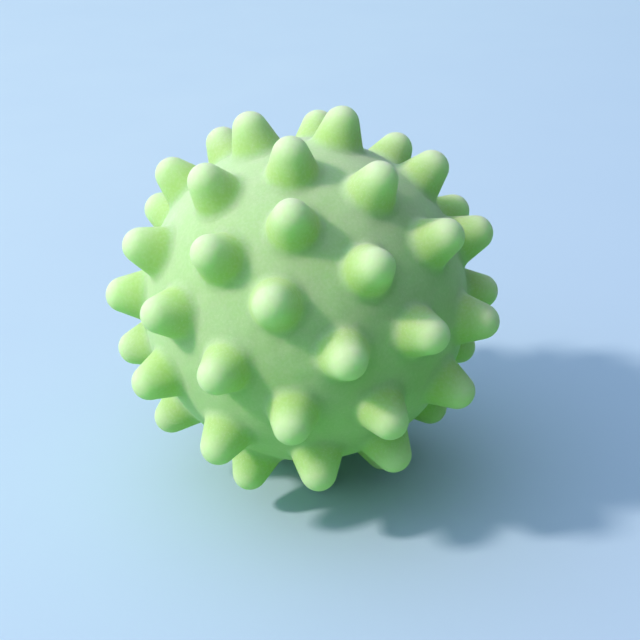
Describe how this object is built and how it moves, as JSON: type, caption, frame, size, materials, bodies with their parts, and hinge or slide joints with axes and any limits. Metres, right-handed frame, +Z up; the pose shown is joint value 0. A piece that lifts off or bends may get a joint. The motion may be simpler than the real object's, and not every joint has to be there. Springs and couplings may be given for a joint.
{
  "type": "sensory ball",
  "caption": "Hollow soft ball with blunt round-tipped spikes all over, moulded in two bonded halves, with a flush air valve and a pull-out plug, for gripping, rolling and squeezing",
  "frame": {"origin": "on the floor, straight under the ball's centre, in the middle of the three spike tips that it stands on", "axes": "+Z up, -Y towards the viewer of the picture, +X to the viewer's right; the valve is at the back, facing +Y and down"},
  "size_m": [0.0903, 0.0898, 0.0887],
  "materials": {
    "skin": "matte moulded silicone",
    "adhesive": "cured clear silicone adhesive",
    "valve": "satin moulded silicone, a little firmer and paler than the skin"
  },
  "bodies": {
    "ball": {"front_shell": "skin", "rear_shell": "skin", "seam_adhesive": "adhesive", "valve_seat": "valve", "valve_core": "valve"},
    "plug": {"valve_plug": "valve"}
  },
  "joints": [
    {"name": "plug_pull", "type": "slide", "parent": "ball", "child": "plug", "axis": [0, 0.8988, -0.4384], "range_m": [0, 0.012]}
  ]
}
